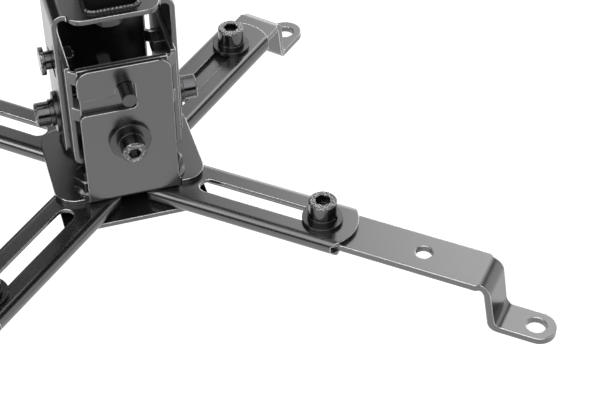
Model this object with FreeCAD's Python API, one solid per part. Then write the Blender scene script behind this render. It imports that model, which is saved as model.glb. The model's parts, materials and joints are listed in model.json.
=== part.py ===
import FreeCAD, Part
import math
import os

os.makedirs("parts", exist_ok=True)

# Ceiling mount for a projector, all lengths in millimetres.
# A ceiling plate carries a tube in a tube. The inner tube ends in a swivel bolt that carries a
# tilt yoke, a gimbal box and a hanger bracket. Four sliding arms are clamped under the bracket.
# Everything is drawn about the pole's axis with z = 0 on top of the upper clamp plate, and is then
# lowered so that z = 0 is the top of the ceiling plate. X points right, Y to the rear.

# Ceiling plate and telescopic pole
overall_height = 430.0
ceiling_side = 100.0
ceiling_thickness = 3.0
ceiling_corner = 8.0
ceiling_hole_spacing = 76.0
ceiling_hole_diameter = 7.0
tube_width = 17.4
tube_depth = 25.0
tube_wall = 1.5
tube_corner = 2.5
tube_running_gap = 0.3
tube_top_gap = 10.0
outer_tube_length = 250.0
end_plate_thickness = 3.0
weld_leg = 1.3
height_screw_heights = (12.0, 42.0)
height_screw_length = 14.0
height_nut_height = 5.0
screw_tip_gap = 0.05

# Swivel bolt under the pole
swivel_diameter = 6.0
swivel_washer_diameter = 14.0
swivel_washer_thickness = 1.4
swivel_lock_thickness = 1.6
swivel_nut_height = 7.75
swivel_thread_end = 0.8

# Tilt yoke, a folded sheet like an upturned U
yoke_sheet = 1.8
yoke_width = 41.8
yoke_half_depth = 11.6
yoke_top = 73.2
yoke_foot = 14.8
yoke_bend = 2.2
yoke_foot_corner = 3.0
lobe_half_depth = 16.2
lobe_half_width = 15.8
lobe_corner = 5.5
lobe_notch = 1.1
tilt_range = 15.0
lock_slot_gap = 0.3

# Gimbal box, a folded sheet with four walls
box_sheet = 1.8
box_side_gap = 0.1
box_front_gap = 0.1
box_foot = 14.3
box_top = 56.3
box_bend = 1.0
box_front_half_width = 15.5
box_side_half_depth = 17.6
tack_heights = (37.0, 52.5)
tack_length = 5.0
tack_overlap = 0.4
tack_inset = 0.3

# Hanger bracket, a folded sheet with two hooked ears
bracket_sheet = 1.8
ear_face = 22.2
ear_half_width = 16.2
ear_top = 56.5
ear_corner = 4.5
ear_bend = 0.5
relief_width = 1.5
relief_depth = 1.0
plate_width = 54.4
plate_depth = 41.0
plate_corner = 7.5
slot_floor = 38.3
slot_height = 6.5
slot_mouth_corner = 2.2
slot_end_corner = 1.5
hook_width = 7.0
hook_top = 50.6
hook_pin_diameter = 5.0
hook_pin_reach = 7.5
hook_pin_collar_diameter = 8.0
hook_pin_collar_thickness = 1.5
hook_seat_gap = 0.2

# Clamping screws of the gimbal
screw_height = 25.1
thumb_screw_height = 47.9
gimbal_screw_diameter = 5.0
gimbal_head_diameter = 8.5
gimbal_head_height = 5.0
gimbal_socket = 4.0
gimbal_socket_depth = 2.8
gimbal_washer_diameter = 14.6
gimbal_washer_thickness = 1.4
gimbal_lock_diameter = 9.6
gimbal_lock_thickness = 1.6
weld_nut_across = 8.0
weld_nut_height = 4.0
screw_hole_gap = 0.25
thumb_screw_diameter = 4.0
thumb_collar_diameter = 6.4
thumb_collar_height = 2.4
thumb_disc_diameter = 9.8
thumb_disc_thickness = 1.6
thumb_thread_end = 0.6
lock_nut_across = 7.0
lock_nut_height = 3.4

# Clamp plates and pivot bolts of the arms
lower_sheet = 1.8
lower_width = 53.0
lower_depth = 53.4
lower_corner = 2.5
pivot_x = 14.0
pivot_y = 13.6
pivot_diameter = 6.0
pivot_head_across = 10.0
pivot_head_height = 4.0
pivot_flange_diameter = 12.5
pivot_flange_height = 1.3
pivot_nut_across = 10.0
pivot_nut_height = 6.0
pivot_thread_end = 1.5
running_gap = 0.05

# Arm channels
arm_sheet = 1.5
arm_width = 22.1
arm_height = 5.8
arm_lip = 4.2
arm_bend = 1.2
arm_lip_bend = 1.0
arm_wall_start = 3.0
arm_wall_end = 68.0
arm_lip_end = 70.0
arm_nose = 73.2
arm_slot_width = 6.7
arm_slot_start = 13.0
arm_slot_end = 65.0

# Sliding bars with joggled feet
bar_width = 17.0
bar_thickness = 2.5
bar_top_gap = 0.15
bar_start = 53.4
bar_inner_hole = 60.5
bar_outer_hole = 98.35
bar_shoulder = 120.0
bar_neck_corner = 1.5
bar_inner_corner = 2.0
bar_drop = 18.8
bar_bend = 3.0
bar_joggle_start = 122.4
bar_joggle_run = 3.3
joggle_width = 14.8
foot_width = 12.6
foot_start = 129.5
foot_tip = 147.6
foot_taper_corner = 6.0
foot_hole_place = 140.5
foot_hole_diameter = 7.0
retraction = 40.8

# Screws of the arms
arm_screw_diameter = 6.0
arm_head_diameter = 10.0
arm_head_height = 6.0
arm_socket = 5.0
arm_socket_depth = 3.4
arm_washer_diameter = 14.5
arm_washer_thickness = 1.4
arm_lock_diameter = 10.6
arm_lock_thickness = 1.6
arm_screw_end = 1.0
lock_washer_slit = 1.0

# Direction of each arm from +X, in degrees
front_right_angle = -40.3
rear_right_angle = 43.4
front_left_angle = -136.6
rear_left_angle = 138.6

# Name, side in X, side in Y, direction, how far the bar is pushed in
arms = (
    ("front_right", 1, -1, front_right_angle, 0.0),
    ("rear_right", 1, 1, rear_right_angle, retraction),
    ("front_left", -1, -1, front_left_angle, 0.0),
    ("rear_left", -1, 1, rear_left_angle, 0.0),
)

# Levels that follow from the sizes above
arm_top = -bracket_sheet
arm_foot = arm_top - arm_height
lower_foot = arm_foot - lower_sheet
bar_top = arm_top - arm_sheet - bar_top_gap
bar_foot = bar_top - bar_thickness
floor = bar_foot - bar_drop
ceiling_top = floor + overall_height
ceiling_foot = ceiling_top - ceiling_thickness
yoke_face = yoke_width / 2
box_side_face = yoke_face - yoke_sheet - box_side_gap
box_front_face = ear_face - bracket_sheet - box_front_gap
hook_pin_height = hook_top - hook_seat_gap - hook_pin_diameter / 2
outer_tube_foot = ceiling_foot - outer_tube_length
tube_inner_width = tube_width - 2 * tube_wall
tube_inner_depth = tube_depth - 2 * tube_wall
outer_bore_width = tube_width + 2 * tube_running_gap
outer_bore_depth = tube_depth + 2 * tube_running_gap
outer_width = outer_bore_width + 2 * tube_wall
outer_depth = outer_bore_depth + 2 * tube_wall
outer_corner = tube_corner + tube_running_gap + tube_wall

origin = FreeCAD.Vector(0, 0, 0)
axis_x = FreeCAD.Vector(1, 0, 0)
axis_y = FreeCAD.Vector(0, 1, 0)
axis_z = FreeCAD.Vector(0, 0, 1)
hex_corner = 1 / math.cos(math.radians(30))


def vector(x, y, z=0.0):
    return FreeCAD.Vector(x, y, z)


def outline(corners):
    """Closed face through corners (x, y, radius), each corner rounded by its own radius."""
    edges = []
    previous_end = None
    first_start = None
    for place, (x, y, radius) in enumerate(corners):
        here = vector(x, y)
        before = vector(*corners[place - 1][:2])
        after = vector(*corners[(place + 1) % len(corners)][:2])
        back = (before - here).normalize()
        ahead = (after - here).normalize()
        half_angle = back.getAngle(ahead) / 2
        trim = radius / math.tan(half_angle)
        start = here + back * trim
        end = here + ahead * trim
        if previous_end is not None and previous_end.distanceToPoint(start) > 1e-6:
            edges.append(Part.LineSegment(previous_end, start).toShape())
        if radius > 0:
            inward = (back + ahead).normalize()
            centre = here + inward * (radius / math.sin(half_angle))
            edges.append(Part.Arc(start, centre - inward * radius, end).toShape())
        if first_start is None:
            first_start = start
        previous_end = end
    if previous_end.distanceToPoint(first_start) > 1e-6:
        edges.append(Part.LineSegment(previous_end, first_start).toShape())
    return Part.Face(Part.Wire(edges))


def folded(path, thickness, *bends):
    """Section of a folded sheet on the left of a path, with one inside radius or one for each bend."""
    if len(bends) == 1:
        bends = bends * (len(path) - 2)
    points = [vector(u, v) for u, v in path]
    runs = [(b - a).normalize() for a, b in zip(points, points[1:])]
    normals = [vector(-run.y, run.x) for run in runs]
    near = [(points[0].x, points[0].y, 0.0)]
    start = points[0] + normals[0] * thickness
    far = [(start.x, start.y, 0.0)]
    for place in range(1, len(points) - 1):
        bend = bends[place - 1]
        left, right = normals[place - 1], normals[place]
        shift = (left + right) * (thickness / (1 + left.dot(right)))
        other = points[place] + shift
        turns_left = runs[place - 1].cross(runs[place]).z > 0
        near_radius = bend + thickness if turns_left else bend
        far_radius = bend if turns_left else bend + thickness
        near.append((points[place].x, points[place].y, near_radius))
        far.append((other.x, other.y, far_radius))
    end = points[-1] + normals[-1] * thickness
    near.append((points[-1].x, points[-1].y, 0.0))
    far.append((end.x, end.y, 0.0))
    return outline(near + far[::-1])


def upright(face, bottom, top):
    """Prism of a plan face between two levels."""
    solid = face.extrude(vector(0, 0, top - bottom))
    solid.translate(vector(0, 0, bottom))
    return solid


def along_x(face, start, end):
    """Prism of a face drawn as (y, z), from x = start to x = end."""
    solid = upright(face, start, end)
    solid.rotate(origin, vector(1, 1, 1), 120)
    return solid


def along_y(face, start, end):
    """Prism of a face drawn as (x, z), from y = start to y = end."""
    solid = upright(face, -end, -start)
    solid.rotate(origin, axis_x, 90)
    return solid


def block(x_range, y_range, z_range):
    size = (x_range[1] - x_range[0], y_range[1] - y_range[0], z_range[1] - z_range[0])
    return Part.makeBox(*size, vector(x_range[0], y_range[0], z_range[0]))


def rectangle(width, depth, radius):
    """Rounded rectangle about the origin."""
    x, y = width / 2, depth / 2
    return outline([(-x, -y, radius), (x, -y, radius), (x, y, radius), (-x, y, radius)])


def slot_face(start, end, width):
    """Slot along x with round ends, between its two outermost points."""
    radius = width / 2
    corners = [(start, -radius, radius), (end, -radius, radius), (end, radius, radius), (start, radius, radius)]
    return outline(corners)


def rod(diameter, bottom, top, x=0.0, y=0.0):
    return Part.makeCylinder(diameter / 2, top - bottom, vector(x, y, bottom))


def rod_x(diameter, start, end, y, z):
    return Part.makeCylinder(diameter / 2, end - start, vector(start, y, z), axis_x)


def rod_y(diameter, start, end, x, z):
    return Part.makeCylinder(diameter / 2, end - start, vector(x, start, z), axis_y)


def turned(profile):
    """Solid turned about z from a profile of (radius, z) points."""
    points = [vector(radius, 0, z) for radius, z in profile]
    return Part.Face(Part.makePolygon(points + points[:1])).revolve(origin, axis_z, 360)


def hexagon(across, bottom, top, chamfer_bottom, chamfer_top):
    """Hexagonal prism with its corners chamfered at the bottom, the top or both."""
    corner = across / 2 * hex_corner
    points = [vector(corner * math.cos(math.radians(60 * k)), corner * math.sin(math.radians(60 * k)), bottom)
              for k in range(7)]
    prism = Part.Face(Part.makePolygon(points)).extrude(vector(0, 0, top - bottom))
    flat = across / 2 * 0.97
    drop = (corner - flat) * math.tan(math.radians(30))
    low = bottom + (drop if chamfer_bottom else 0)
    high = top - (drop if chamfer_top else 0)
    profile = [(0, bottom), (flat if chamfer_bottom else corner, bottom), (corner, low)]
    profile += [(corner, high), (flat if chamfer_top else corner, top), (0, top)]
    tidy = [point for place, point in enumerate(profile) if point != profile[place - 1]]
    return prism.common(turned(tidy))


def ring(outside, inside, bottom, thickness):
    return rod(outside, bottom, bottom + thickness).cut(rod(inside, bottom, bottom + thickness))


def lock_washer(outside, inside, bottom, thickness):
    """Spring washer: a flat ring with one slanted slit."""
    whole = ring(outside, inside, bottom, thickness)
    slit = Part.makeBox(outside, lock_washer_slit, 3 * thickness, vector(0, -lock_washer_slit / 2, -1.5 * thickness))
    slit.rotate(origin, axis_x, 30)
    slit.translate(vector(0, 0, bottom + thickness / 2))
    return whole.cut(slit)


def cap_screw(diameter, length, head_diameter, head_height, socket, socket_depth):
    """Socket-head screw, its seat at z = 0, head up and shank down."""
    edge = 0.05 * head_diameter
    radius = head_diameter / 2
    head = turned([(0, 0), (radius, 0), (radius, head_height - edge), (radius - edge, head_height), (0, head_height)])
    shank = rod(diameter, -length, 0)
    recess = hexagon(socket, head_height - socket_depth, head_height, False, False)
    return head.fuse(shank).cut(recess).removeSplitter()


def facing(shape, place, direction):
    """Shape whose z axis is turned to a direction and whose origin is moved to a place."""
    turned_shape = shape.copy()
    pose = FreeCAD.Placement(place, FreeCAD.Rotation(axis_z, direction))
    turned_shape.Placement = pose.multiply(shape.Placement)
    return turned_shape


def weld_ring(width, depth, corner, bottom, upward):
    """Fillet weld around a rectangular tube, its wide side on the plate."""
    wide = rectangle(width + 2 * weld_leg, depth + 2 * weld_leg, corner + weld_leg).OuterWire
    narrow = rectangle(width + 0.4 * weld_leg, depth + 0.4 * weld_leg, corner + 0.2 * weld_leg).OuterWire
    wide.translate(vector(0, 0, bottom))
    narrow.translate(vector(0, 0, bottom + upward * weld_leg))
    low = bottom + min(0, upward * weld_leg)
    bead = Part.makeLoft([wide, narrow], True, True)
    return bead.cut(upright(rectangle(width, depth, corner), low - 1, low + weld_leg + 1))


def ceiling_plate():
    plate = upright(rectangle(ceiling_side, ceiling_side, ceiling_corner), ceiling_foot, ceiling_top)
    reach = ceiling_hole_spacing / 2
    for x in (-reach, reach):
        for y in (-reach, reach):
            plate = plate.cut(rod(ceiling_hole_diameter, ceiling_foot, ceiling_top, x, y))
    return plate


def height_screw_places():
    """Rear face of the outer tube, at each height of a locking screw."""
    return [vector(0, outer_depth / 2, outer_tube_foot + height) for height in height_screw_heights]


def outer_tube():
    tube = upright(rectangle(outer_width, outer_depth, outer_corner), outer_tube_foot, ceiling_foot)
    bore = rectangle(outer_bore_width, outer_bore_depth, tube_corner + tube_running_gap)
    tube = tube.cut(upright(bore, outer_tube_foot, ceiling_foot))
    for place in height_screw_places():
        tube = tube.cut(rod_y(arm_screw_diameter, 0, outer_depth, 0, place.z))
    return tube


def height_nuts():
    """Weld nuts outside the outer tube's rear wall."""
    nut = hexagon(pivot_nut_across, 0, height_nut_height, False, True)
    nut = nut.cut(rod(arm_screw_diameter, 0, height_nut_height))
    return Part.makeCompound([facing(nut, place, axis_y) for place in height_screw_places()])


def height_screws():
    """Locking screws that press on the inner tube's rear wall."""
    reach = tube_depth / 2 + screw_tip_gap + height_screw_length
    screw = cap_screw(arm_screw_diameter, height_screw_length, arm_head_diameter, arm_head_height,
                      arm_socket, arm_socket_depth)
    places = [vector(0, reach, place.z) for place in height_screw_places()]
    return Part.makeCompound([facing(screw, place, axis_y) for place in places])


def ceiling_weld():
    return weld_ring(outer_width, outer_depth, outer_corner, ceiling_foot, -1)


def inner_tube():
    top = ceiling_foot - tube_top_gap
    tube = upright(rectangle(tube_width, tube_depth, tube_corner), yoke_top, top)
    bore = rectangle(tube_inner_width, tube_inner_depth, tube_corner - tube_wall)
    return tube.cut(upright(bore, yoke_top, top))


def tube_end_plate():
    """Plate welded into the inner tube's foot, which the swivel bolt hangs in."""
    face = rectangle(tube_inner_width, tube_inner_depth, tube_corner - tube_wall)
    plate = upright(face, yoke_top, yoke_top + end_plate_thickness)
    return plate.cut(rod(swivel_diameter, yoke_top, yoke_top + end_plate_thickness))


def foot_weld():
    return weld_ring(tube_width, tube_depth, tube_corner, yoke_top, 1)


def swivel_bolt():
    seat = yoke_top + end_plate_thickness
    head = hexagon(pivot_head_across, seat, seat + pivot_head_height, False, True)
    foot = swivel_nut_foot() - swivel_thread_end
    return head.fuse(rod(swivel_diameter, foot, seat)).removeSplitter()


def swivel_nut_foot():
    under_plate = yoke_top - yoke_sheet
    return under_plate - swivel_washer_thickness - swivel_lock_thickness - swivel_nut_height


def swivel_washer():
    foot = yoke_top - yoke_sheet - swivel_washer_thickness
    return ring(swivel_washer_diameter, swivel_diameter, foot, swivel_washer_thickness)


def swivel_lock_washer():
    foot = yoke_top - yoke_sheet - swivel_washer_thickness - swivel_lock_thickness
    return lock_washer(arm_lock_diameter, swivel_diameter, foot, swivel_lock_thickness)


def swivel_nut():
    foot = swivel_nut_foot()
    nut = hexagon(pivot_nut_across, foot, foot + swivel_nut_height, True, True)
    return nut.cut(rod(swivel_diameter, foot, foot + swivel_nut_height))


def lock_arc():
    """Arc slot for the thumb screw, centred on the tilt pivot."""
    radius = thumb_screw_height - screw_height
    half_width = thumb_screw_diameter / 2 + lock_slot_gap
    sweep = math.radians(tilt_range)
    ends = [vector(0, radius * math.sin(turn), screw_height + radius * math.cos(turn)) for turn in (-sweep, sweep)]
    outside = Part.makeCylinder(radius + half_width, yoke_width, vector(-yoke_face, 0, screw_height), axis_x)
    inside = Part.makeCylinder(radius - half_width, yoke_width, vector(-yoke_face, 0, screw_height), axis_x)
    reach = 2 * radius
    wedge = Part.Face(Part.makePolygon([
        vector(-yoke_face, 0, screw_height),
        vector(-yoke_face, -reach * math.sin(sweep), screw_height + reach * math.cos(sweep)),
        vector(-yoke_face, reach * math.sin(sweep), screw_height + reach * math.cos(sweep)),
        vector(-yoke_face, 0, screw_height)])).extrude(vector(yoke_width, 0, 0))
    slot = outside.cut(inside).common(wedge)
    for end in ends:
        slot = slot.fuse(rod_x(2 * half_width, -yoke_face, yoke_face, end.y, end.z))
    return slot


def tilt_yoke():
    path = [(yoke_face, yoke_foot), (yoke_face, yoke_top), (-yoke_face, yoke_top), (-yoke_face, yoke_foot)]
    arch = along_y(folded(path, yoke_sheet, yoke_bend), -yoke_half_depth, yoke_half_depth)
    foot = yoke_foot_corner
    side = outline([(-yoke_half_depth, yoke_foot, foot), (yoke_half_depth, yoke_foot, foot),
                    (yoke_half_depth, yoke_top, 0), (-yoke_half_depth, yoke_top, 0)])
    arch = arch.common(along_x(side, -yoke_face, yoke_face))
    step = lobe_half_width + lobe_notch
    corners = []
    for sign_x, sign_y in ((-1, -1), (1, -1), (1, 1), (-1, 1)):
        lobe = (sign_x * lobe_half_width, sign_y * lobe_half_depth, lobe_corner)
        inner = (sign_x * lobe_half_width, sign_y * yoke_half_depth, lobe_notch)
        edge = (sign_x * step, sign_y * yoke_half_depth, 0)
        corners += [edge, inner, lobe] if sign_x * sign_y > 0 else [lobe, inner, edge]
    top = upright(outline(corners), yoke_top - yoke_sheet, yoke_top)
    yoke = arch.fuse(top).removeSplitter()
    yoke = yoke.cut(rod(swivel_diameter + 2 * running_gap, yoke_top - yoke_sheet, yoke_top))
    yoke = yoke.cut(rod_x(gimbal_screw_diameter + 2 * running_gap, -yoke_face, yoke_face, 0, screw_height))
    return yoke.cut(lock_arc())


def gimbal_box():
    side, front = box_side_face, box_front_face
    side_path = [(-side, box_top), (-side, box_foot), (side, box_foot), (side, box_top)]
    front_path = [(-front, box_top), (-front, box_foot), (front, box_foot), (front, box_top)]
    side_walls = along_y(folded(side_path, box_sheet, box_bend), -box_side_half_depth, box_side_half_depth)
    front_walls = along_x(folded(front_path, box_sheet, box_bend), -box_front_half_width, box_front_half_width)
    box = side_walls.fuse(front_walls)
    for x in (-1, 1):
        for y in (-1, 1):
            for height in tack_heights:
                box = box.fuse(corner_tack(x, y, height))
    box = box.removeSplitter()
    hole = gimbal_screw_diameter + 2 * screw_hole_gap
    box = box.cut(rod_y(hole, -front, front, 0, screw_height))
    box = box.cut(rod_x(hole, -side, side, 0, screw_height))
    box = box.cut(rod_x(thumb_screw_diameter + 2 * running_gap, -side, side, 0, thumb_screw_height))
    return box.cut(rod_y(hook_pin_diameter, -front, front, 0, hook_pin_height))


def corner_tack(sign_x, sign_y, height):
    """Short weld that ties a front or rear wall to the side wall beside it."""
    inner_x, inner_y = box_front_half_width - tack_overlap, box_side_half_depth - tack_overlap
    outer_x, outer_y = box_side_face - tack_inset, box_front_face - tack_inset
    face = Part.makePolygon([
        vector(sign_x * inner_x, sign_y * outer_y), vector(sign_x * outer_x, sign_y * inner_y),
        vector(sign_x * (box_side_face - box_sheet), sign_y * inner_y),
        vector(sign_x * inner_x, sign_y * (box_front_face - box_sheet)),
        vector(sign_x * inner_x, sign_y * outer_y)])
    return upright(Part.Face(face), height - tack_length / 2, height + tack_length / 2)


def ear_silhouette():
    """Ear seen from the front, drawn as (x, z), with the hook slot open on the left edge."""
    left, right = -ear_half_width, ear_half_width
    slot_top = slot_floor + slot_height
    notch = hook_width / 2
    hook = notch * 0.98
    return outline([
        (left, -bracket_sheet, 0), (right, -bracket_sheet, 0), (right, ear_top, ear_corner),
        (left, ear_top, ear_corner), (left, slot_top, slot_mouth_corner), (-notch, slot_top, slot_end_corner),
        (-notch, hook_top, hook), (notch, hook_top, hook), (notch, slot_floor, slot_end_corner),
        (left, slot_floor, slot_mouth_corner)])


def hanger_bracket():
    path = [(-ear_face, ear_top), (-ear_face, arm_top), (ear_face, arm_top), (ear_face, ear_top)]
    ears = along_x(folded(path, bracket_sheet, ear_bend), -ear_half_width, ear_half_width)
    ears = ears.common(along_y(ear_silhouette(), -ear_face, ear_face))
    plate = upright(rectangle(plate_width, plate_depth, plate_corner), arm_top, 0)
    relief = ear_half_width + relief_width
    bend_start = ear_face - bracket_sheet - ear_bend - relief_depth
    for sign in (-1, 1):
        near, far = sorted((sign * bend_start, sign * ear_face))
        plate = plate.cut(block((-relief, relief), (near, far), (arm_top, 0)))
    web = block((-ear_half_width, ear_half_width), (-bend_start - relief_depth, bend_start + relief_depth),
                (arm_top, 0))
    bracket = plate.fuse(web).fuse(ears).removeSplitter()
    hole = gimbal_screw_diameter + 2 * screw_hole_gap
    bracket = bracket.cut(rod_y(hole, -ear_face, ear_face, 0, screw_height))
    for x, y in pivots():
        bracket = bracket.cut(rod(pivot_diameter + 2 * screw_hole_gap, arm_top, 0, x, y))
    return bracket


def pivots():
    return [(side_x * pivot_x, side_y * pivot_y) for _, side_x, side_y, _, _ in arms]


def lower_clamp_plate():
    plate = upright(rectangle(lower_width, lower_depth, lower_corner), lower_foot, arm_foot)
    for x, y in pivots():
        plate = plate.cut(rod(pivot_diameter + 2 * screw_hole_gap, lower_foot, arm_foot, x, y))
    return plate


def pivot_bolts():
    head = hexagon(pivot_head_across, lower_foot - pivot_head_height, lower_foot, True, False)
    bolt = head.fuse(rod(pivot_diameter, lower_foot, pivot_nut_height + pivot_thread_end)).removeSplitter()
    return Part.makeCompound([moved(bolt, x, y) for x, y in pivots()])


def pivot_nuts():
    flange = pivot_flange_diameter / 2
    rim = 0.4 * pivot_flange_height
    waist = pivot_nut_across / 2
    skirt = turned([(0, 0), (flange, 0), (flange, rim), (waist, 1.6 * pivot_flange_height),
                    (0, 1.6 * pivot_flange_height)])
    nut = skirt.fuse(hexagon(pivot_nut_across, rim, pivot_nut_height, False, True))
    nut = nut.cut(rod(pivot_diameter, 0, pivot_nut_height)).removeSplitter()
    return Part.makeCompound([moved(nut, x, y) for x, y in pivots()])


def moved(shape, x, y, turn=0.0):
    copy = shape.copy()
    copy.rotate(origin, axis_z, turn)
    copy.translate(vector(x, y, 0))
    return copy


def hook_pin(sign_y):
    """Pin riveted into the box's front or rear wall, seated in the ear's hook."""
    inner = box_front_face - box_sheet
    start = inner - hook_pin_collar_thickness
    reach = ear_face + hook_pin_reach
    shaft = rod(hook_pin_diameter, start, reach)
    pin = shaft.fuse(rod(hook_pin_collar_diameter, start, inner)).removeSplitter()
    return facing(pin, vector(0, 0, hook_pin_height), vector(0, sign_y, 0))


def gimbal_stack(face, wall_inside, direction):
    """Screw, spring washer and flat washer on one face of the gimbal, pointing outward."""
    washer = ring(gimbal_washer_diameter, gimbal_screw_diameter, face, gimbal_washer_thickness)
    lock_foot = face + gimbal_washer_thickness
    lock = lock_washer(gimbal_lock_diameter, gimbal_screw_diameter, lock_foot, gimbal_lock_thickness)
    seat = lock_foot + gimbal_lock_thickness
    length = seat - (wall_inside - weld_nut_height)
    screw = cap_screw(gimbal_screw_diameter, length, gimbal_head_diameter, gimbal_head_height,
                      gimbal_socket, gimbal_socket_depth)
    screw.translate(vector(0, 0, seat))
    place = vector(0, 0, screw_height)
    return [facing(piece, place, direction) for piece in (screw, lock, washer)]


def weld_nut(wall_inside, direction):
    nut = hexagon(weld_nut_across, wall_inside - weld_nut_height, wall_inside, True, False)
    nut = nut.cut(rod(gimbal_screw_diameter, wall_inside - weld_nut_height, wall_inside))
    return facing(nut, vector(0, 0, screw_height), direction)


gimbal_sides = (
    ("front", vector(0, -1, 0), ear_face, box_front_face - box_sheet),
    ("rear", vector(0, 1, 0), ear_face, box_front_face - box_sheet),
    ("left", vector(-1, 0, 0), yoke_face, box_side_face - box_sheet),
    ("right", vector(1, 0, 0), yoke_face, box_side_face - box_sheet),
)


def weld_nuts():
    return Part.makeCompound([weld_nut(inside, direction) for _, direction, _, inside in gimbal_sides])


def lock_nuts():
    """Nuts welded inside both side walls of the box for the thumb screw."""
    inside = box_side_face - box_sheet
    nut = hexagon(lock_nut_across, inside - lock_nut_height, inside, True, False)
    nut = nut.cut(rod(thumb_screw_diameter + 2 * running_gap, inside - lock_nut_height, inside))
    place = vector(0, 0, thumb_screw_height)
    return Part.makeCompound([facing(nut, place, vector(sign, 0, 0)) for sign in (-1, 1)])


def thumb_screw():
    """Screw with a collar and a thin disc head, outside the yoke's left wall."""
    collar_end = yoke_face + thumb_collar_height
    head_end = collar_end + thumb_disc_thickness
    thread_start = box_side_face - box_sheet - lock_nut_height - thumb_thread_end
    screw = rod(thumb_collar_diameter, yoke_face, collar_end).fuse(rod(thumb_disc_diameter, collar_end, head_end))
    screw = screw.fuse(rod(thumb_screw_diameter, thread_start, yoke_face)).removeSplitter()
    return facing(screw, vector(0, 0, thumb_screw_height), vector(-1, 0, 0))


def arm_channel():
    """Channel along +X, its pivot at the origin."""
    half = arm_width / 2
    foot = -arm_height
    path = [(half - arm_lip, foot), (half, foot), (half, 0), (-half, 0), (-half, foot), (arm_lip - half, foot)]
    section = folded(path, arm_sheet, arm_lip_bend, arm_bend, arm_bend, arm_lip_bend)
    body = along_x(section, -half, arm_nose)
    nose_radius = nose_arc_radius()
    plan = slot_face(-half, arm_nose + arm_width, arm_width)
    plan = upright(plan, foot, 0).common(
        Part.makeCylinder(nose_radius, arm_height, vector(arm_nose - nose_radius, 0, foot)).fuse(
            block((-half, arm_wall_end), (-half, half), (foot, 0))))
    channel = body.common(plan)
    channel = channel.cut(block((-half, -arm_wall_start), (-half, half), (foot, -arm_sheet)))
    channel = channel.cut(block((arm_wall_end, arm_nose), (-half, half), (foot + arm_sheet, -arm_sheet)))
    channel = channel.cut(block((arm_lip_end, arm_nose), (-half, half), (foot, -arm_sheet)))
    channel = channel.cut(upright(slot_face(arm_slot_start, arm_slot_end, arm_slot_width), -arm_sheet, 0))
    channel = channel.cut(rod(pivot_diameter + 2 * running_gap, -arm_sheet, 0))
    channel.translate(vector(0, 0, arm_top))
    return channel


def nose_arc_radius():
    """Radius of the nose arc through both wall ends and the tip."""
    rise = arm_nose - arm_wall_end
    half = arm_width / 2
    return (half * half + rise * rise) / (2 * rise)


def arm_bar():
    """Bar along +X as it lies when pulled out, measured from the arm's pivot."""
    joggle_end = bar_joggle_start + bar_joggle_run
    path = [(bar_start, bar_foot), (bar_joggle_start, bar_foot), (joggle_end, floor), (foot_tip, floor)]
    bar = along_y(folded(path, bar_thickness, bar_bend), -bar_width / 2, bar_width / 2)
    half, waist, foot = bar_width / 2, joggle_width / 2, foot_width / 2
    neck = bar_shoulder + half - waist
    side = [(bar_start, half, bar_inner_corner), (bar_shoulder, half, bar_neck_corner),
            (neck, waist, bar_neck_corner), (joggle_end, waist, foot_taper_corner),
            (foot_start, foot, foot_taper_corner), (foot_tip, foot, 0.98 * foot)]
    plan = outline([(x, -y, radius) for x, y, radius in side] + side[::-1])
    bar = bar.common(upright(plan, floor, bar_top))
    for place in (bar_inner_hole, bar_outer_hole):
        bar = bar.cut(rod(arm_screw_diameter, bar_foot, bar_top, place))
    return bar.cut(rod(foot_hole_diameter, floor, floor + bar_thickness, foot_hole_place))


def arm_screw_stack():
    """Screw, spring washer and flat washer at the origin, on top of the channel."""
    washer = ring(arm_washer_diameter, arm_screw_diameter, arm_top, arm_washer_thickness)
    lock_foot = arm_top + arm_washer_thickness
    lock = lock_washer(arm_lock_diameter, arm_screw_diameter, lock_foot, arm_lock_thickness)
    seat = lock_foot + arm_lock_thickness
    length = seat - bar_foot + arm_screw_end
    screw = cap_screw(arm_screw_diameter, length, arm_head_diameter, arm_head_height, arm_socket, arm_socket_depth)
    screw.translate(vector(0, 0, seat))
    return screw, lock, washer


def save(node, shape):
    lowered = shape.copy()
    lowered.translate(vector(0, 0, -ceiling_top))
    lowered.exportStep("parts/" + node + ".step")


def save_pole():
    save("ceiling_plate", ceiling_plate())
    save("ceiling_weld", ceiling_weld())
    save("outer_tube", outer_tube())
    save("height_nuts", height_nuts())
    save("height_screws", height_screws())
    save("inner_tube", inner_tube())
    save("tube_end_plate", tube_end_plate())
    save("foot_weld", foot_weld())
    save("swivel_bolt", swivel_bolt())
    save("swivel_washer", swivel_washer())
    save("swivel_lock_washer", swivel_lock_washer())
    save("swivel_nut", swivel_nut())


def save_head():
    save("tilt_yoke", tilt_yoke())
    save("gimbal_box", gimbal_box())
    save("hanger_bracket", hanger_bracket())
    save("lower_clamp_plate", lower_clamp_plate())
    save("pivot_bolts", pivot_bolts())
    save("pivot_nuts", pivot_nuts())
    save("front_hook_pin", hook_pin(-1))
    save("rear_hook_pin", hook_pin(1))
    save("weld_nuts", weld_nuts())
    for side, direction, face, inside in gimbal_sides:
        screw, lock, washer = gimbal_stack(face, inside, direction)
        save(side + "_screw", screw)
        save(side + "_spring_washer", lock)
        save(side + "_washer", washer)
    save("lock_nuts", lock_nuts())
    save("thumb_screw", thumb_screw())


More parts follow.
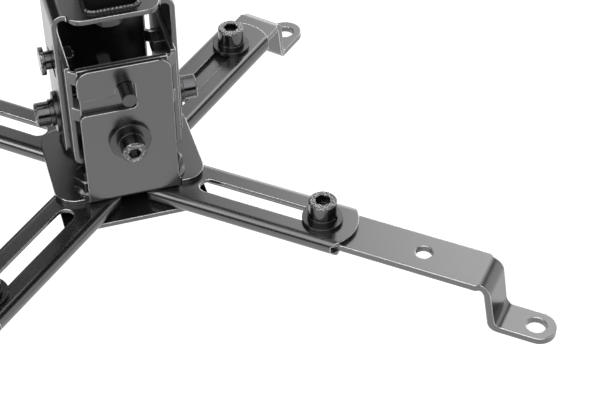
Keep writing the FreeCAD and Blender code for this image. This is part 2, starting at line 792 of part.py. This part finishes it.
def save_arms():
    channel = arm_channel()
    bar = arm_bar()
    screw, lock, washer = arm_screw_stack()
    for name, side_x, side_y, direction, pushed_in in arms:
        x, y = side_x * pivot_x, side_y * pivot_y
        heading = math.radians(direction)
        screw_place = bar_outer_hole - pushed_in if pushed_in else bar_inner_hole
        screw_x, screw_y = x + screw_place * math.cos(heading), y + screw_place * math.sin(heading)
        bar_x, bar_y = x - pushed_in * math.cos(heading), y - pushed_in * math.sin(heading)
        save(name + "_arm", moved(channel, x, y, direction))
        save(name + "_bar", moved(bar, bar_x, bar_y, direction))
        save(name + "_arm_screw", moved(screw, screw_x, screw_y, direction))
        save(name + "_spring_washer", moved(lock, screw_x, screw_y, direction))
        save(name + "_arm_washer", moved(washer, screw_x, screw_y, direction))


save_pole()
save_head()
save_arms()
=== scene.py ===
import json
import math
import random

import bmesh
import bpy
from mathutils import Matrix, Vector


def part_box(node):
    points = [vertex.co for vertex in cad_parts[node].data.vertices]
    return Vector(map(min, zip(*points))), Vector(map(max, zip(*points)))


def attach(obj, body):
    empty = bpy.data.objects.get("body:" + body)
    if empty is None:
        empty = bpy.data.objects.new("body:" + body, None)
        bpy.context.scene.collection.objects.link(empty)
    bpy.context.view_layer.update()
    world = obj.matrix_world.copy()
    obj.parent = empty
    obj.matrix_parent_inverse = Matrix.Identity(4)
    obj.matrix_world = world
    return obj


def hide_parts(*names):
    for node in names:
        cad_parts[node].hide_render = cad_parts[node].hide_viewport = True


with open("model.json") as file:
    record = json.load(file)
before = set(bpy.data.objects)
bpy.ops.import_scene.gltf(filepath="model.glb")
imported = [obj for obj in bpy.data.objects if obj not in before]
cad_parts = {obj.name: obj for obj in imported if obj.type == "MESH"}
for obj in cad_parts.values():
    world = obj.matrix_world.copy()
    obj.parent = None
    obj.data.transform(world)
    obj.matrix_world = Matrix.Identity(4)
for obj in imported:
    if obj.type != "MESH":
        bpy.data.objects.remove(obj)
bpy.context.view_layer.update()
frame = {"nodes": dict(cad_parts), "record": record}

MM = 0.001
IMAGE_WIDTH = 600
SENSOR_WIDTH = 36.0

# Camera, measured from the pole's axis and the top of the upper clamp plate
CAMERA_FOCAL_PIXELS = 1620.35
CAMERA_PLACE = (-68.12 * MM, -445.64 * MM, 387.31 * MM)
CAMERA_AZIMUTH = math.radians(-16.983)
CAMERA_ELEVATION = math.radians(42.607)
CAMERA_ROLL = math.radians(-0.040)

PLATE_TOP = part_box("pivot_nuts")[0][2]
HEIGHT_JOINT = next(joint for joint in frame["record"]["behaviour"]["joints"] if joint["name"] == "height")
TILT_REACH = 50 * MM
# Level of the floor, below the feet also where the pole is pulled out and the head is tilted
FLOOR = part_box("front_right_bar")[0][2] - HEIGHT_JOINT["range_m"][1] - TILT_REACH
FLOOR_REACH = 6.0
BODY_OF = {node: body for body, nodes in frame["record"]["behaviour"]["bodies"].items() for node in nodes}

# Each arm's direction from +X in degrees, and whether its bar is pushed in
ARM_HEADINGS = (
    ("front_right", -40.3, False),
    ("rear_right", 43.4, True),
    ("front_left", -136.6, False),
    ("rear_left", 138.6, False),
)
ARMS = [arm for arm, angle, pushed_in in ARM_HEADINGS]

# Distance along a bar from its screw to its tapped hole, and the hole's radius
HOLE_STEP = 37.85 * MM
HOLE_RADIUS = 3 * MM

# Light on the object from all sides, and the floor's own brightness where it is seen
FILL_LIGHT = 0.26
FLOOR_LIFT = 0.9

# Levels of what glossy surfaces see
GLOW_DARK = 0.02
GLOW_MIDDLE = 1.3
GLOW_TOP = 3.4
GLOW_HORIZON = 2.3
GLOW_FRONT = 2.4
GLOW_RIGHT = 0.45
# Rear panel's level at places from left to right: 0.5 is straight behind, and 1 is 30 degrees to the right
GLOW_STEPS = (
    (0.55, GLOW_DARK),
    (0.60, GLOW_DARK),
    (0.67, GLOW_MIDDLE),
    (0.72, 1.3 * GLOW_MIDDLE),
    (0.82, GLOW_TOP),
    (1.0, 0.8 * GLOW_TOP),
)

# Clouds and grain of every coat
CLOUD_SCALE = 90.0
GRAIN_HEIGHT = 0.05 * MM

# Rounded edges, and the cosines of the normal's turn where the painted edge highlight starts and where it is
# full
EDGE_SAMPLES = 6
EDGE_HIGHLIGHT_START = 0.985
EDGE_HIGHLIGHT_FULL = 0.88
# Bright metal colour painted on rounded edges as a highlight
EDGE_HIGHLIGHT_METAL = (0.65, 0.65, 0.655, 1)

# Rubbed end faces of the screws, outside the socket's share of the radius
SOCKET_SHARE = 0.45
END_DEPTH = 0.7 * MM
SPECK_SCALE = 1500.0
SPECK_METAL = (0.32, 0.32, 0.325, 1)
SPECK_RELIEF = 0.4 * MM

# Thread on the walls of the tapped holes, up to a little past their radius
THREAD_PITCH = 1 * MM
THREAD_DEPTH = 0.3 * MM
THREAD_REACH = 1.03

# Weld bead around the pole's foot. Ripple and roughness are shares of its leg, and the bulge is an exponent
BEAD_SEED = 7
BEAD_CORNER = 2.5 * MM
BEAD_CORNER_STEPS = 10
BEAD_STEP = 0.25 * MM
BEAD_SECTION_STEPS = 8
BEAD_RIPPLE = 0.14
BEAD_ROUGHNESS = 0.1
BEAD_BULGE = 0.8
BEAD_OVERLAP = 0.1 * MM


def add_camera():
    """Camera of the photograph: a long lens that looks down on the head from the front left."""
    azimuth, elevation, roll = CAMERA_AZIMUTH, CAMERA_ELEVATION, CAMERA_ROLL
    forward = Vector((-math.sin(azimuth) * math.cos(elevation), math.cos(azimuth) * math.cos(elevation),
                      -math.sin(elevation)))
    right = forward.cross(Vector((0, 0, 1))).normalized()
    up = right.cross(forward)
    side = right * math.cos(roll) + up * math.sin(roll)
    top = up * math.cos(roll) - right * math.sin(roll)
    data = bpy.data.cameras.new("camera")
    data.sensor_width = SENSOR_WIDTH
    data.lens = CAMERA_FOCAL_PIXELS * SENSOR_WIDTH / IMAGE_WIDTH
    data.clip_start = 10 * MM
    camera = bpy.data.objects.new("camera", data)
    turn = Matrix((side, top, -forward)).transposed().to_4x4()
    place = Vector(CAMERA_PLACE) + Vector((0, 0, PLATE_TOP))
    camera.matrix_world = Matrix.Translation(place) @ turn
    bpy.context.scene.collection.objects.link(camera)
    bpy.context.scene.camera = camera


def add_node(tree, kind, **inputs):
    node = tree.nodes.new(kind)
    for name, value in inputs.items():
        node.inputs[name].default_value = value
    return node


def math_node(tree, operation, *values):
    """Math node whose inputs are numbers or other nodes' outputs. Returns its output."""
    node = tree.nodes.new("ShaderNodeMath")
    node.operation = operation
    for place, value in enumerate(values):
        if isinstance(value, (int, float)):
            node.inputs[place].default_value = value
        else:
            tree.links.new(value, node.inputs[place])
    return node.outputs[0]


def see_background(tree):
    """1 for camera, glossy and transmission rays, 0 for the light that falls on the object."""
    path = tree.nodes.new("ShaderNodeLightPath")
    seen = math_node(tree, "MAXIMUM", path.outputs["Is Camera Ray"], path.outputs["Is Glossy Ray"])
    return math_node(tree, "MAXIMUM", seen, path.outputs["Is Transmission Ray"])


def fade(tree, value, start, end):
    """Smooth change from 0 at the start to 1 at the end."""
    node = tree.nodes.new("ShaderNodeMapRange")
    node.interpolation_type = "SMOOTHSTEP"
    node.inputs["From Min"].default_value = start
    node.inputs["From Max"].default_value = end
    tree.links.new(value, node.inputs["Value"])
    return node.outputs["Result"]


def studio_glow(tree):
    """What glossy surfaces see: a rear panel that is bright on its right half, a strip above the rear horizon
    and a panel over the front. Each fade runs between two values of the direction's X, Y or Z part.
    """
    where = tree.nodes.new("ShaderNodeTexCoord")
    split = tree.nodes.new("ShaderNodeSeparateXYZ")
    tree.links.new(where.outputs["Generated"], split.inputs[0])
    x, y, z = split.outputs
    ramp = tree.nodes.new("ShaderNodeValToRGB")
    ramp.color_ramp.interpolation = "EASE"
    steps = ramp.color_ramp.elements
    steps[0].position = GLOW_STEPS[0][0]
    for place, level in GLOW_STEPS[1:-1]:
        steps.new(place)
    for step, (place, level) in zip(steps, GLOW_STEPS):
        step.color = (*[level / GLOW_TOP] * 3, 1)
    tree.links.new(math_node(tree, "ADD", x, 0.5), ramp.inputs["Fac"])
    panel = math_node(tree, "MULTIPLY", ramp.outputs["Color"], GLOW_TOP)
    # Strip above the rear horizon
    horizon = math_node(tree, "MULTIPLY", fade(tree, x, -0.1, 0.03), fade(tree, x, 0.12, 0.0))
    horizon = math_node(tree, "MULTIPLY", horizon, fade(tree, z, 0.66, 0.62))
    panel = math_node(tree, "MULTIPLY_ADD", horizon, GLOW_HORIZON, panel)
    # Both are only at the rear, and weaker round to the right
    rear = fade(tree, y, 0.3, 0.5)
    right = math_node(tree, "MULTIPLY", fade(tree, x, 0.45, 0.6), fade(tree, z, 0.62, 0.45))
    right = math_node(tree, "MULTIPLY", right, GLOW_RIGHT)
    panel = math_node(tree, "MULTIPLY", panel, math_node(tree, "MAXIMUM", rear, right))
    # Panel over the front, whose rear edge is slanted
    slant = math_node(tree, "MULTIPLY_ADD", x, -0.6, y)
    front = math_node(tree, "MULTIPLY", fade(tree, slant, 0.42, 0.28), fade(tree, x, 0.36, 0.2))
    front = math_node(tree, "MULTIPLY", front, fade(tree, z, 0.35, 0.6))
    front = math_node(tree, "MULTIPLY", front, math_node(tree, "SUBTRACT", 1.0, rear))
    return math_node(tree, "MULTIPLY_ADD", front, GLOW_FRONT, panel)


def add_world():
    """Plain soft light from all sides, white where the camera sees it."""
    world = bpy.data.worlds.new("studio")
    bpy.context.scene.world = world
    world.use_nodes = True
    tree = world.node_tree
    tree.nodes.clear()
    fill, glow, seen = [add_node(tree, "ShaderNodeBackground", Color=(1, 1, 1, 1)) for light in range(3)]
    fill.inputs["Strength"].default_value = FILL_LIGHT
    tree.links.new(studio_glow(tree), glow.inputs["Strength"])
    path = tree.nodes.new("ShaderNodeLightPath")
    first = tree.nodes.new("ShaderNodeMixShader")
    tree.links.new(path.outputs["Is Glossy Ray"], first.inputs[0])
    tree.links.new(fill.outputs[0], first.inputs[1])
    tree.links.new(glow.outputs[0], first.inputs[2])
    second = tree.nodes.new("ShaderNodeMixShader")
    tree.links.new(path.outputs["Is Camera Ray"], second.inputs[0])
    tree.links.new(first.outputs[0], second.inputs[1])
    tree.links.new(seen.outputs[0], second.inputs[2])
    out = tree.nodes.new("ShaderNodeOutputWorld")
    tree.links.new(second.outputs[0], out.inputs["Surface"])


def add_light(name, heading, height, distance, size, radiance):
    """Softbox that faces the head. Heading is to the right of the rear, and both angles are in degrees."""
    heading, height = math.radians(heading), math.radians(height)
    level = math.cos(height)
    way = Vector((math.sin(heading) * level, math.cos(heading) * level, math.sin(height)))
    data = bpy.data.lights.new(name, "AREA")
    data.shape = "RECTANGLE"
    data.size, data.size_y = size
    data.energy = radiance * math.pi * size[0] * size[1]
    light = bpy.data.objects.new(name, data)
    light.location = Vector((0, 0, PLATE_TOP)) + way * distance
    light.rotation_euler = (-way).to_track_quat("-Z", "Y").to_euler()
    bpy.context.scene.collection.objects.link(light)


def add_lights():
    add_light("front_softbox", heading=-152, height=52, distance=1.2, size=(0.5, 0.5), radiance=1.8)
    add_light("left_softbox", heading=-100, height=35, distance=1.2, size=(0.3, 0.6), radiance=4.0)


def floor_material():
    """Matte white floor that is seen as white and keeps the object's shadow. It is clear from below."""
    material = bpy.data.materials.new("floor")
    material.use_nodes = True
    tree = material.node_tree
    shader = tree.nodes["Principled BSDF"]
    shader.inputs["Base Color"].default_value = (0.9, 0.9, 0.9, 1)
    shader.inputs["Roughness"].default_value = 0.9
    shader.inputs["Specular IOR Level"].default_value = 0.0
    shader.inputs["Emission Color"].default_value = (1, 1, 1, 1)
    lift = math_node(tree, "MULTIPLY", see_background(tree), FLOOR_LIFT)
    tree.links.new(lift, shader.inputs["Emission Strength"])
    side = tree.nodes.new("ShaderNodeNewGeometry")
    clear = tree.nodes.new("ShaderNodeBsdfTransparent")
    mix = tree.nodes.new("ShaderNodeMixShader")
    tree.links.new(side.outputs["Backfacing"], mix.inputs[0])
    tree.links.new(shader.outputs[0], mix.inputs[1])
    tree.links.new(clear.outputs[0], mix.inputs[2])
    tree.links.new(mix.outputs[0], tree.nodes["Material Output"].inputs["Surface"])
    return material


def add_floor():
    mesh = bpy.data.meshes.new("floor")
    corners = [(x * FLOOR_REACH, y * FLOOR_REACH, FLOOR) for x, y in ((-1, -1), (1, -1), (1, 1), (-1, 1))]
    mesh.from_pydata(corners, [], [(0, 1, 2, 3)])
    floor = bpy.data.objects.new("floor", mesh)
    bpy.context.scene.collection.objects.link(floor)
    mesh.materials.append(floor_material())


def blend(tree, share, first, second):
    """Colour that goes from a node's output to a plain colour as the share goes from 0 to 1. A Mix node's
    colours are its inputs 6 and 7 and its output 2.
    """
    mix = tree.nodes.new("ShaderNodeMix")
    mix.data_type = "RGBA"
    tree.links.new(share, mix.inputs[0])
    tree.links.new(first, mix.inputs[6])
    mix.inputs[7].default_value = second
    return mix.outputs[2]


def painted_edge_highlight(tree, rounded, edge_highlight):
    """Share of the painted edge highlight at a shaded point: 0 on the faces, and more where the rounded
    normal turns away.
    """
    face = tree.nodes.new("ShaderNodeNewGeometry")
    turn = tree.nodes.new("ShaderNodeVectorMath")
    turn.operation = "DOT_PRODUCT"
    tree.links.new(rounded.outputs["Normal"], turn.inputs[0])
    tree.links.new(face.outputs["Normal"], turn.inputs[1])
    return math_node(tree, "MULTIPLY", fade(tree, turn.outputs["Value"], EDGE_HIGHLIGHT_START, EDGE_HIGHLIGHT_FULL), edge_highlight)


def coated_metal(name, colour, ior, roughness, metallic=0.0, grain=0.35 * MM, relief=0.06, spread=0.15,
                 edge=0.4 * MM, edge_highlight=0.0):
    """Coated or plated metal with rounded edges, a fine grain and slow changes in tone and roughness. With a
    share of edge highlight, the rounded edges get a painted highlight of bright metal.
    """
    material = bpy.data.materials.new(name)
    material.use_nodes = True
    tree = material.node_tree
    shader = tree.nodes["Principled BSDF"]
    shader.inputs["Metallic"].default_value = metallic
    shader.inputs["IOR"].default_value = ior
    where = tree.nodes.new("ShaderNodeTexCoord")
    where.name = "where"
    clouds = add_node(tree, "ShaderNodeTexNoise", Scale=CLOUD_SCALE, Detail=4.0, Roughness=0.6)
    tree.links.new(where.outputs["Object"], clouds.inputs["Vector"])
    tone = tree.nodes.new("ShaderNodeValToRGB")
    tone.name = "tone"
    tone.color_ramp.elements[0].position = 0.3
    tone.color_ramp.elements[1].position = 0.7
    tone.color_ramp.elements[0].color = (*[c * (1 - spread) for c in colour], 1)
    tone.color_ramp.elements[1].color = (*[c * (1 + spread) for c in colour], 1)
    tree.links.new(clouds.outputs["Fac"], tone.inputs["Fac"])
    edges = add_node(tree, "ShaderNodeBevel", Radius=edge)
    edges.samples = EDGE_SAMPLES
    # Painted highlight: bright metal colour and metallic on the rounded edges, standing in for their shine
    if edge_highlight:
        highlighted = painted_edge_highlight(tree, edges, edge_highlight)
        tree.links.new(blend(tree, highlighted, tone.outputs["Color"], EDGE_HIGHLIGHT_METAL), shader.inputs["Base Color"])
        tree.links.new(highlighted, shader.inputs["Metallic"])
    else:
        tree.links.new(tone.outputs["Color"], shader.inputs["Base Color"])
    rough = tree.nodes.new("ShaderNodeMapRange")
    rough.inputs["To Min"].default_value = roughness * 0.9
    rough.inputs["To Max"].default_value = roughness * 1.12
    tree.links.new(clouds.outputs["Fac"], rough.inputs["Value"])
    tree.links.new(rough.outputs["Result"], shader.inputs["Roughness"])
    peel = add_node(tree, "ShaderNodeTexNoise", Scale=1.0 / grain, Detail=3.0, Roughness=0.5)
    tree.links.new(where.outputs["Object"], peel.inputs["Vector"])
    bump = tree.nodes.new("ShaderNodeBump")
    bump.name = "relief"
    tree.links.new(edges.outputs["Normal"], bump.inputs["Normal"])
    bump.inputs["Strength"].default_value = relief
    bump.inputs["Distance"].default_value = GRAIN_HEIGHT
    tree.links.new(peel.outputs["Fac"], bump.inputs["Height"])
    tree.links.new(bump.outputs["Normal"], shader.inputs["Normal"])
    return material


def add_relief(material, height, depth):
    """Second relief on top of a material's grain. The height is a node's output between 0 and 1."""
    tree = material.node_tree
    first = tree.nodes["relief"]
    bump = tree.nodes.new("ShaderNodeBump")
    bump.inputs["Strength"].default_value = 1.0
    bump.inputs["Distance"].default_value = depth
    tree.links.new(height, bump.inputs["Height"])
    tree.links.new(first.outputs["Normal"], bump.inputs["Normal"])
    tree.links.new(bump.outputs["Normal"], tree.nodes["Principled BSDF"].inputs["Normal"])


def across_and_along(tree, place, axis):
    """Two offsets of a shaded point from a line, its distance from the line and its level along it.
    Axis 0 is X, 1 is Y and 2 is Z.
    """
    split = tree.nodes.new("ShaderNodeSeparateXYZ")
    tree.links.new(tree.nodes["where"].outputs["Object"], split.inputs[0])
    first, second = [k for k in range(3) if k != axis]
    u = math_node(tree, "SUBTRACT", split.outputs[first], place[first])
    v = math_node(tree, "SUBTRACT", split.outputs[second], place[second])
    squares = math_node(tree, "ADD", math_node(tree, "MULTIPLY", u, u), math_node(tree, "MULTIPLY", v, v))
    distance = math_node(tree, "SQRT", squares)
    return (u, v), distance, split.outputs[axis]


def rub_end(material, place, axis, end, radius):
    """Rough bright specks on the end face of a head."""
    tree = material.node_tree
    distance, level = across_and_along(tree, place, axis)[1:]
    depth = math_node(tree, "ABSOLUTE", math_node(tree, "SUBTRACT", level, end))
    near = math_node(tree, "LESS_THAN", depth, END_DEPTH)
    ring = math_node(tree, "GREATER_THAN", distance, radius * SOCKET_SHARE)
    specks = add_node(tree, "ShaderNodeTexNoise", Scale=SPECK_SCALE, Detail=2.0, Roughness=0.6)
    tree.links.new(tree.nodes["where"].outputs["Object"], specks.inputs["Vector"])
    ramp = tree.nodes.new("ShaderNodeValToRGB")
    ramp.color_ramp.elements[0].position = 0.50
    ramp.color_ramp.elements[1].position = 0.60
    tree.links.new(specks.outputs["Fac"], ramp.inputs["Fac"])
    mask = math_node(tree, "MULTIPLY", near, ring)
    share = math_node(tree, "MULTIPLY", mask, ramp.outputs["Color"])
    rubbed = blend(tree, share, tree.nodes["tone"].outputs["Color"], SPECK_METAL)
    tree.links.new(rubbed, tree.nodes["Principled BSDF"].inputs["Base Color"])
    add_relief(material, math_node(tree, "MULTIPLY", mask, specks.outputs["Fac"]), SPECK_RELIEF)


def tapped(material, place, radius):
    """Thread on the wall of an upright hole."""
    tree = material.node_tree
    (u, v), distance, level = across_and_along(tree, place, 2)
    angle = math_node(tree, "ARCTAN2", v, u)
    turn = math_node(tree, "ADD", math_node(tree, "MULTIPLY", level, 2 * math.pi / THREAD_PITCH), angle)
    wave = math_node(tree, "MULTIPLY_ADD", math_node(tree, "SINE", turn), 0.5, 0.5)
    inside = math_node(tree, "LESS_THAN", distance, radius * THREAD_REACH)
    add_relief(material, math_node(tree, "MULTIPLY", wave, inside), THREAD_DEPTH)


def black_oxide(name):
    return coated_metal(name, (0.10, 0.10, 0.103), ior=1.5, roughness=0.16, metallic=0.95, grain=0.9 * MM,
                        relief=0.35, spread=0.4)


def dress(nodes, material):
    for name in nodes:
        mesh = frame["nodes"][name].data
        mesh.materials.clear()
        mesh.materials.append(material)


def middle(node):
    low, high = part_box(node)
    return [(low[k] + high[k]) / 2 for k in range(3)]


def dress_screws():
    """Black screws with a rubbed end face. Axis 0 is X, 1 is Y and 2 is Z, and end 0 is the lower one."""
    stacks = [(side, side + "_screw", axis, end, 4.25 * MM) for side, axis, end in
              (("front", 1, 0), ("rear", 1, 1), ("left", 0, 0), ("right", 0, 1))]
    stacks += [(arm, arm + "_arm_screw", 2, 1, 5 * MM) for arm in ARMS]
    stacks += [("thumb", "thumb_screw", 0, 0, 4.9 * MM)]
    for name, node, axis, end, radius in stacks:
        material = black_oxide(name + "_screw_oxide")
        rub_end(material, middle(node), axis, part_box(node)[end][axis], radius)
        dress([node], material)


def dress_bars():
    """Bars with a tapped hole past the end of each channel."""
    for arm, angle, pushed_in in ARM_HEADINGS:
        # Bars get a painted highlight of bright metal on their rounded edges
        material = coated_metal(arm + "_bar_coat", (0.035, 0.035, 0.036), ior=2.1, roughness=0.24,
                                edge=0.7 * MM, edge_highlight=1.0)
        screw = middle(arm + "_arm_screw")
        away = -HOLE_STEP if pushed_in else HOLE_STEP
        heading = math.radians(angle)
        hole = [screw[0] + away * math.cos(heading), screw[1] + away * math.sin(heading), screw[2]]
        tapped(material, hole, HOLE_RADIUS)
        dress([arm + "_bar"], material)


def weld_bead():
    """Rough weld bead around the pole's foot."""
    low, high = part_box("foot_weld")
    tube_low, tube_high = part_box("inner_tube")
    half_x, half_y = (tube_high[0] - tube_low[0]) / 2, (tube_high[1] - tube_low[1]) / 2
    leg = high[0] - tube_high[0]
    chance = random.Random(BEAD_SEED)
    route = []
    for number, (sign_x, sign_y) in enumerate(((1, 1), (-1, 1), (-1, -1), (1, -1))):
        centre = Vector((sign_x * (half_x - BEAD_CORNER), sign_y * (half_y - BEAD_CORNER), 0))
        for step in range(BEAD_CORNER_STEPS + 1):
            turn = math.radians(90 * number + 90 / BEAD_CORNER_STEPS * step)
            out = Vector((math.cos(turn), math.sin(turn), 0))
            route.append((centre + out * BEAD_CORNER, out))
    stations = []
    for place, (point, out) in enumerate(route):
        after, out_after = route[(place + 1) % len(route)]
        count = max(1, round((after - point).length / BEAD_STEP))
        for share in [k / count for k in range(count)]:
            stations.append((point.lerp(after, share), out.lerp(out_after, share).normalized()))
    mesh = bmesh.new()
    rings = []
    for place, (point, out) in enumerate(stations):
        foot = Vector((point.x, point.y, low[2]))
        # Scallops of uneven length along the bead
        wave = abs(math.sin(place * 0.62 + 0.5 * math.sin(place * 0.13)))
        ripple = 1 - BEAD_RIPPLE + BEAD_RIPPLE * wave
        section = []
        for step in range(BEAD_SECTION_STEPS + 1):
            turn = math.radians(90 * step / BEAD_SECTION_STEPS)
            reach = leg * ripple * (1 - BEAD_ROUGHNESS * chance.random())
            across, up = reach * math.cos(turn) ** BEAD_BULGE, reach * math.sin(turn) ** BEAD_BULGE
            section.append(mesh.verts.new(foot + out * across + Vector((0, 0, up))))
        section.append(mesh.verts.new(foot - out * BEAD_OVERLAP))
        rings.append(section)
    for place, ring in enumerate(rings):
        beside = rings[(place + 1) % len(rings)]
        for step in range(len(ring)):
            onward = (step + 1) % len(ring)
            mesh.faces.new((ring[step], beside[step], beside[onward], ring[onward]))
    bmesh.ops.recalc_face_normals(mesh, faces=mesh.faces)
    data = bpy.data.meshes.new("pole_weld_bead")
    mesh.to_mesh(data)
    mesh.free()
    for face in data.polygons:
        face.use_smooth = True
    bead = bpy.data.objects.new("pole_weld_bead", data)
    bpy.context.scene.collection.objects.link(bead)
    coat = coated_metal("weld_coat", (0.03, 0.03, 0.031), ior=2.0, roughness=0.26, grain=0.4 * MM, relief=0.7)
    data.materials.append(coat)
    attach(bead, BODY_OF["foot_weld"])
    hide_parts("foot_weld")


def dress_everything():
    # The coat gets a painted highlight of bright metal on its rounded edges
    coat = coated_metal("black_powder_coat", (0.022, 0.022, 0.023), ior=2.0, roughness=0.22, relief=0.04,
                        edge=0.6 * MM, edge_highlight=0.95)
    pole_coat = coated_metal("pole_powder_coat", (0.005, 0.005, 0.005), ior=1.15, roughness=0.40)
    washer_plate = coated_metal("washer_black_zinc", (0.09, 0.09, 0.093), ior=1.5, roughness=0.26,
                                metallic=0.9)
    nut_plate = coated_metal("nut_black_zinc", (0.14, 0.14, 0.145), ior=1.5, roughness=0.26, metallic=0.9)
    bright_zinc = coated_metal("bright_zinc", (0.55, 0.55, 0.54), ior=1.5, roughness=0.42, metallic=0.5,
                               edge=0.3 * MM)
    slots = {"black_coat": coat, "pole_steel": pole_coat, "bar_steel": coat, "weld": pole_coat,
             "screw_steel": washer_plate, "washer_steel": washer_plate, "nut_steel": nut_plate}
    for part in frame["record"]["subparts"]:
        dress([part["node"]], slots[part["material_slot"]])
    dress(["swivel_nut"], bright_zinc)
    dress_screws()
    dress_bars()


add_camera()
add_world()
add_lights()
add_floor()
dress_everything()
weld_bead()

bpy.context.scene.view_settings.view_transform = "Standard"
